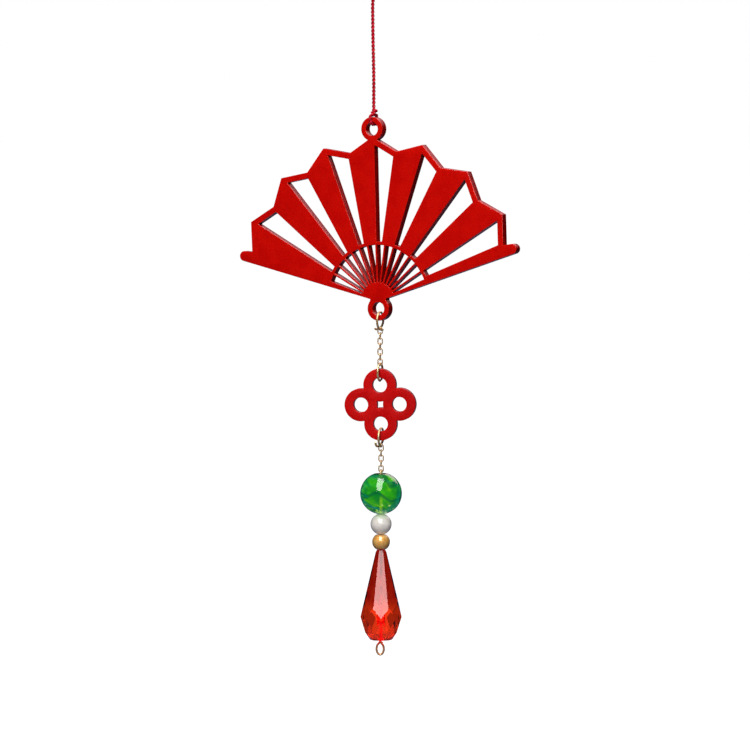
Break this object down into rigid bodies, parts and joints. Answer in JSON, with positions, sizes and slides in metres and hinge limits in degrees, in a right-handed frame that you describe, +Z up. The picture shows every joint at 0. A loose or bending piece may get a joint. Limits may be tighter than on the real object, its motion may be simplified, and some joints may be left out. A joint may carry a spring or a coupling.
{
  "type": "fan charm",
  "caption": "Hanging charm: a rigid pierced fan plate on a twisted cord, with a fine chain, a lobed plate, round beads and a faceted drop below.",
  "frame": {"origin": "the point where the cord's hook loop bears on its hook, in the middle of the loop's inner crown", "axes": "+Z up along the hanging line, -Y out of the fan's front face, +X to the fan's right as seen from the front"},
  "size_m": [0.1037, 0.014, 0.2369],
  "materials": {
    "crimson_cord": "two-ply twisted cord",
    "red_lacquer": "smooth red lacquer, semi-gloss",
    "pale_gold_wire": "polished pale gold plating",
    "green_glass": "marbled translucent green",
    "pearl": "pearl lustre",
    "satin_gold": "satin gold",
    "red_glass": "polished, faceted, clear red"
  },
  "bodies": {
    "hanging_cord": {"hanging_cord": "crimson_cord"},
    "fan_loop": {"fan_loop": "crimson_cord"},
    "fan_plate": {"fan_plate": "red_lacquer"},
    "fan_ring": {"fan_ring": "pale_gold_wire"},
    "upper_link_1": {"upper_link_1": "pale_gold_wire"},
    "upper_link_2": {"upper_link_2": "pale_gold_wire"},
    "upper_link_3": {"upper_link_3": "pale_gold_wire"},
    "upper_link_4": {"upper_link_4": "pale_gold_wire"},
    "upper_link_5": {"upper_link_5": "pale_gold_wire"},
    "upper_link_6": {"upper_link_6": "pale_gold_wire"},
    "upper_link_7": {"upper_link_7": "pale_gold_wire"},
    "charm_top_ring": {"charm_top_ring": "pale_gold_wire"},
    "lobed_plate": {"lobed_plate": "red_lacquer"},
    "charm_bottom_ring": {"charm_bottom_ring": "pale_gold_wire"},
    "lower_link_1": {"lower_link_1": "pale_gold_wire"},
    "lower_link_2": {"lower_link_2": "pale_gold_wire"},
    "lower_link_3": {"lower_link_3": "pale_gold_wire"},
    "lower_link_4": {"lower_link_4": "pale_gold_wire"},
    "lower_link_5": {"lower_link_5": "pale_gold_wire"},
    "eye_pin": {"eye_pin": "pale_gold_wire"},
    "green_bead": {"green_bead": "green_glass"},
    "pearl_bead": {"pearl_bead": "pearl"},
    "gold_bead": {"gold_bead": "satin_gold"},
    "red_drop": {"red_drop": "red_glass"}
  },
  "joints": [
    {"name": "cord_twist", "type": "hinge", "parent": "hanging_cord", "child": "fan_loop", "pos_m": [0, 0, -0.0538], "axis": [0, 0, 1], "range_deg": [-180, 180]},
    {"name": "fan_swing", "type": "hinge", "parent": "fan_loop", "child": "fan_plate", "pos_m": [0, 0, -0.06], "axis": [0, 1, 0], "range_deg": [-35, 35]},
    {"name": "fan_ring_swing", "type": "hinge", "parent": "fan_plate", "child": "fan_ring", "pos_m": [0.0024, 0, -0.12372], "axis": [0.9925, 0.1219, 0], "range_deg": [-60, 60]},
    {"name": "upper_link_1_swing", "type": "hinge", "parent": "fan_ring", "child": "upper_link_1", "pos_m": [0.0024, 0, -0.12662], "axis": [0.3256, -0.9455, 0], "range_deg": [-25, 45]},
    {"name": "upper_link_2_swing", "type": "hinge", "parent": "upper_link_1", "child": "upper_link_2", "pos_m": [0.0024, 0, -0.12819], "axis": [-0.9455, -0.3256, 0], "range_deg": [-45, 45]},
    {"name": "upper_link_3_swing", "type": "hinge", "parent": "upper_link_2", "child": "upper_link_3", "pos_m": [0.0024, 0, -0.12993], "axis": [-0.3256, 0.9455, 0], "range_deg": [-45, 45]},
    {"name": "upper_link_4_swing", "type": "hinge", "parent": "upper_link_3", "child": "upper_link_4", "pos_m": [0.0024, 0, -0.13167], "axis": [0.9455, 0.3256, 0], "range_deg": [-45, 45]},
    {"name": "upper_link_5_swing", "type": "hinge", "parent": "upper_link_4", "child": "upper_link_5", "pos_m": [0.0024, 0, -0.13341], "axis": [0.3256, -0.9455, 0], "range_deg": [-45, 45]},
    {"name": "upper_link_6_swing", "type": "hinge", "parent": "upper_link_5", "child": "upper_link_6", "pos_m": [0.0024, 0, -0.13515], "axis": [-0.9455, -0.3256, 0], "range_deg": [-45, 45]},
    {"name": "upper_link_7_swing", "type": "hinge", "parent": "upper_link_6", "child": "upper_link_7", "pos_m": [0.0024, 0, -0.13689], "axis": [-0.3256, 0.9455, 0], "range_deg": [-45, 45]},
    {"name": "charm_top_ring_swing", "type": "hinge", "parent": "upper_link_7", "child": "charm_top_ring", "pos_m": [0.0024, 0, -0.13863], "axis": [0.9816, 0.1908, 0], "range_deg": [-45, 45]},
    {"name": "lobed_plate_swing", "type": "hinge", "parent": "charm_top_ring", "child": "lobed_plate", "pos_m": [0.0024, 0, -0.14513], "axis": [0.3223, -0.9466, 0], "range_deg": [-60, 60]},
    {"name": "charm_bottom_ring_swing", "type": "hinge", "parent": "lobed_plate", "child": "charm_bottom_ring", "pos_m": [0.0027, 0.0001, -0.16262], "axis": [-0.9816, -0.1908, 0], "range_deg": [-60, 60]},
    {"name": "lower_link_1_swing", "type": "hinge", "parent": "charm_bottom_ring", "child": "lower_link_1", "pos_m": [0.0027, 0.0001, -0.16567], "axis": [-0.3746, 0.9272, 0], "range_deg": [-45, 10]},
    {"name": "lower_link_2_swing", "type": "hinge", "parent": "lower_link_1", "child": "lower_link_2", "pos_m": [0.0027, 0.0001, -0.16723], "axis": [0.9272, 0.3746, 0], "range_deg": [-45, 45]},
    {"name": "lower_link_3_swing", "type": "hinge", "parent": "lower_link_2", "child": "lower_link_3", "pos_m": [0.0027, 0.0001, -0.16897], "axis": [0.3746, -0.9272, 0], "range_deg": [-45, 45]},
    {"name": "lower_link_4_swing", "type": "hinge", "parent": "lower_link_3", "child": "lower_link_4", "pos_m": [0.0027, 0.0001, -0.17071], "axis": [-0.9272, -0.3746, 0], "range_deg": [-45, 45]},
    {"name": "lower_link_5_swing", "type": "hinge", "parent": "lower_link_4", "child": "lower_link_5", "pos_m": [0.0027, 0.0001, -0.17245], "axis": [-0.3746, 0.9272, 0], "range_deg": [-45, 45]},
    {"name": "eye_pin_swing", "type": "hinge", "parent": "lower_link_5", "child": "eye_pin", "pos_m": [0.0027, 0.0001, -0.17419], "axis": [0.9272, 0.3746, 0], "range_deg": [-40, 40]},
    {"name": "green_bead_spin", "type": "hinge", "parent": "eye_pin", "child": "green_bead", "pos_m": [0.0027, 0.0001, -0.17419], "axis": [0, 0, 1], "continuous": true},
    {"name": "pearl_bead_spin", "type": "hinge", "parent": "eye_pin", "child": "pearl_bead", "pos_m": [0.0027, 0.0001, -0.17419], "axis": [0, 0, 1], "continuous": true},
    {"name": "gold_bead_spin", "type": "hinge", "parent": "eye_pin", "child": "gold_bead", "pos_m": [0.0027, 0.0001, -0.17419], "axis": [0, 0, 1], "continuous": true},
    {"name": "red_drop_spin", "type": "hinge", "parent": "eye_pin", "child": "red_drop", "pos_m": [0.0027, 0.0001, -0.17419], "axis": [0, 0, 1], "continuous": true}
  ]
}
